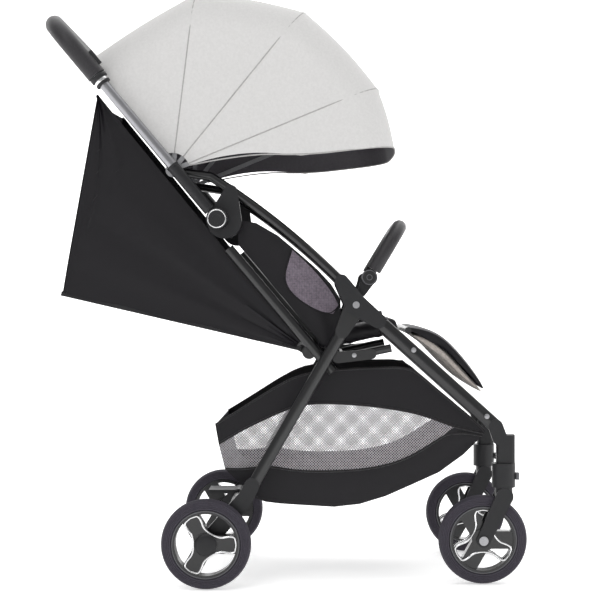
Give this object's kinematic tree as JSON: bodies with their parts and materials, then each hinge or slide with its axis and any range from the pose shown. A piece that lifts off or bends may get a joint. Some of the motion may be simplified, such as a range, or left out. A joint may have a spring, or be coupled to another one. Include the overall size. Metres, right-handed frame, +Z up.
{
  "type": "compact travel stroller",
  "caption": "Folding child stroller with small wheels, swivelling front casters, reclining seat, hooped sun canopy, bumper bar and under-seat basket.",
  "frame": {"origin": "on the floor under the middle of the stroller's overall box", "axes": "+X forwards, +Y to the rider's left, +Z up"},
  "size_m": [0.8484, 0.477, 1.0473],
  "materials": {
    "tube_black": "satin black powder coat",
    "tube_gunmetal": "anodised gunmetal",
    "plastic_black": "fine moulded grain",
    "plastic_grey": "moulded",
    "steel": "zinc plated",
    "grip_foam": "closed-cell foam",
    "fabric_black": "woven polyester",
    "fabric_grey": "woven polyester, light grey melange",
    "webbing": "woven webbing",
    "tyre": "moulded foam rubber",
    "rim_black": "moulded nylon"
  },
  "bodies": {
    "frame": {"front_leg_left": "tube_black", "front_leg_right": "tube_black", "swivel_housing_left": "plastic_black", "swivel_housing_right": "plastic_black", "front_cross_tube": "tube_black", "joint_castings": "plastic_black", "joint_covers": "plastic_black", "upper_rail_left": "tube_black", "upper_rail_right": "tube_black", "lower_tubes": "tube_black", "hub_plates": "plastic_black", "seat_frame": "tube_black", "seat_pad": "fabric_black", "seat_wings": "fabric_black", "seat_gussets": "fabric_black", "hood_panel": "fabric_black", "basket": "fabric_black", "canopy_rear_bow": "steel", "canopy_panel_rear": "fabric_grey", "harness_straps": "webbing", "buckle": "plastic_black", "frame_screws": "steel", "bumper_sockets": "plastic_black"},
    "handle": {"handle_tube": "tube_gunmetal", "handle_sleeves": "plastic_black", "hub_discs": "plastic_black", "handle_grip": "grip_foam"},
    "fold_button": {"fold_button": "plastic_black"},
    "buckle_button": {"buckle_button": "plastic_grey"},
    "rear_frame": {"rear_leg_left": "tube_black", "rear_leg_right": "tube_black", "rear_feet": "plastic_black", "rear_axle": "steel", "rear_cross_tube": "tube_black"},
    "brake_pedal": {"brake_pedal": "plastic_black"},
    "backrest": {"backrest_board": "plastic_black", "backrest_pad": "fabric_black"},
    "calf_rest": {"calf_board": "plastic_black", "calf_pad": "fabric_grey"},
    "bumper": {"bumper_bar": "tube_black", "bumper_pad": "grip_foam"},
    "canopy_1": {"canopy_bow_1": "steel", "canopy_panel_middle": "fabric_grey"},
    "canopy_2": {"canopy_bow_2": "steel"},
    "canopy_3": {"canopy_bow_3": "steel", "canopy_panel_front": "fabric_grey"},
    "caster_left": {"front_fork_left": "plastic_black", "front_axle_left": "steel"},
    "front_wheel_left": {"front_left_tyre": "tyre", "front_left_rim": "rim_black"},
    "rear_wheel_left": {"rear_left_tyre": "tyre", "rear_left_rim": "rim_black"},
    "swivel_lock_left": {"swivel_lock_left": "plastic_grey"},
    "caster_right": {"front_fork_right": "plastic_black", "front_axle_right": "steel"},
    "front_wheel_right": {"front_right_tyre": "tyre", "front_right_rim": "rim_black"},
    "rear_wheel_right": {"rear_right_tyre": "tyre", "rear_right_rim": "rim_black"},
    "swivel_lock_right": {"swivel_lock_right": "plastic_grey"}
  },
  "joints": [
    {"name": "frame_fold", "type": "hinge", "parent": "frame", "child": "rear_frame", "pos_m": [0.123, 0, 0.49], "axis": [0, -1, 0], "range_deg": [0, 48]},
    {"name": "handle_fold", "type": "hinge", "parent": "frame", "child": "handle", "pos_m": [-0.118, 0, 0.639], "axis": [0, 1, 0], "range_deg": [0, 144]},
    {"name": "backrest_recline", "type": "hinge", "parent": "frame", "child": "backrest", "pos_m": [0.041, 0, 0.407], "axis": [0, 1, 0], "range_deg": [0, 37], "deforming": ["seat_gussets", "hood_panel"]},
    {"name": "canopy_fold", "type": "hinge", "parent": "frame", "child": "canopy_1", "pos_m": [-0.197, 0, 0.725], "axis": [0, -1, 0], "range_deg": [0, 41], "deforming": ["canopy_panel_rear"]},
    {"name": "canopy_fold_2", "type": "hinge", "parent": "canopy_1", "child": "canopy_2", "pos_m": [-0.197, 0, 0.725], "axis": [0, -1, 0], "range_deg": [0, 27.4], "deforming": ["canopy_panel_middle"]},
    {"name": "canopy_fold_3", "type": "hinge", "parent": "canopy_2", "child": "canopy_3", "pos_m": [-0.197, 0, 0.725], "axis": [0, -1, 0], "range_deg": [0, 23.7], "deforming": ["canopy_panel_front"]},
    {"name": "bumper_tilt", "type": "hinge", "parent": "frame", "child": "bumper", "pos_m": [0.1465, 0, 0.538], "axis": [0, 1, 0], "range_deg": [0, 60]},
    {"name": "calf_rest_tilt", "type": "hinge", "parent": "frame", "child": "calf_rest", "pos_m": [0.215, 0, 0.445], "axis": [0, -1, 0], "range_deg": [0, 37]},
    {"name": "brake_press", "type": "hinge", "parent": "rear_frame", "child": "brake_pedal", "pos_m": [-0.1, 0, 0.12], "axis": [0, -1, 0], "range_deg": [0, 18]},
    {"name": "caster_swivel_left", "type": "hinge", "parent": "frame", "child": "caster_left", "pos_m": [0.383, 0.17, 0.16], "axis": [0, 0, 1], "continuous": true},
    {"name": "front_wheel_spin_left", "type": "hinge", "parent": "caster_left", "child": "front_wheel_left", "pos_m": [0.346, 0.17, 0.078], "axis": [0, 1, 0], "continuous": true},
    {"name": "rear_wheel_spin_left", "type": "hinge", "parent": "rear_frame", "child": "rear_wheel_left", "pos_m": [-0.136, 0.2215, 0.078], "axis": [0, 1, 0], "continuous": true},
    {"name": "swivel_lock_slide_left", "type": "slide", "parent": "frame", "child": "swivel_lock_left", "axis": [0, 0, 1], "range_m": [0, 0.006]},
    {"name": "caster_swivel_right", "type": "hinge", "parent": "frame", "child": "caster_right", "pos_m": [0.383, -0.17, 0.16], "axis": [0, 0, 1], "continuous": true},
    {"name": "front_wheel_spin_right", "type": "hinge", "parent": "caster_right", "child": "front_wheel_right", "pos_m": [0.346, -0.17, 0.078], "axis": [0, 1, 0], "continuous": true},
    {"name": "rear_wheel_spin_right", "type": "hinge", "parent": "rear_frame", "child": "rear_wheel_right", "pos_m": [-0.136, -0.2215, 0.078], "axis": [0, 1, 0], "continuous": true},
    {"name": "swivel_lock_slide_right", "type": "slide", "parent": "frame", "child": "swivel_lock_right", "axis": [0, 0, 1], "range_m": [0, 0.006]},
    {"name": "fold_button_press", "type": "slide", "parent": "handle", "child": "fold_button", "axis": [-0.766, 0, -0.6428], "range_m": [0, 0.0035], "stiffness_N_per_m": 400},
    {"name": "buckle_button_press", "type": "slide", "parent": "frame", "child": "buckle_button", "axis": [0.2297, 0, -0.9733], "range_m": [0, 0.003], "stiffness_N_per_m": 400}
  ],
  "couplings": [
    {"joint": "handle_fold", "follows": "frame_fold", "ratio": 3},
    {"joint": "canopy_fold_2", "follows": "canopy_fold", "ratio": 0.668},
    {"joint": "canopy_fold_3", "follows": "canopy_fold", "ratio": 0.576}
  ]
}
